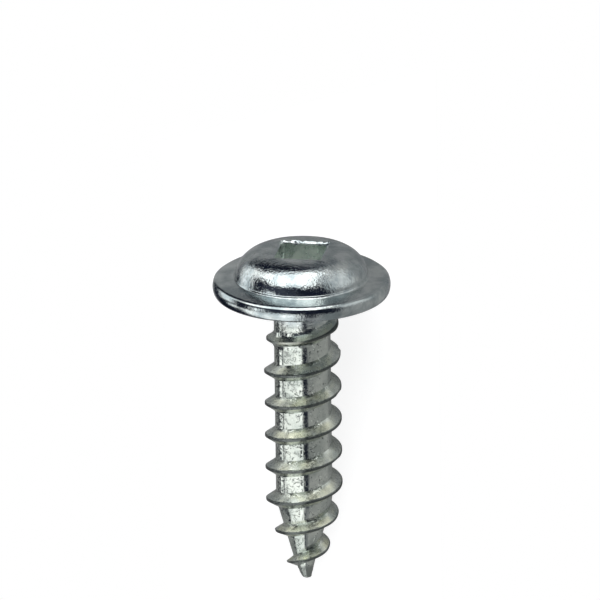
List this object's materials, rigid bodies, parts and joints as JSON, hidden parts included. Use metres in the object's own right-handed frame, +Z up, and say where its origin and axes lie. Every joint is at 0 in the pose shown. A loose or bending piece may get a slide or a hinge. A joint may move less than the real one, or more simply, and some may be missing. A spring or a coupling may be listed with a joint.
{
  "type": "sheet metal screw",
  "caption": "Washer-head sheet metal screw, lying on its side: domed head with a square drive recess, coarse spaced thread and gimlet point, in bright zinc-plated steel.",
  "frame": {"origin": "on the table, at the centre of the lying screw's bounding box", "axes": "+Z up; +Y along the lying screw towards its head; the screw's own axis leans up towards the head by the angle at which rim and thread both touch the table"},
  "size_m": [0.011, 0.0218, 0.0108],
  "materials": {
    "zinc_plated_steel": "bright zinc plate over cold-formed and thread-rolled steel"
  },
  "bodies": {
    "root": {"screw": "zinc_plated_steel"}
  },
  "joints": []
}
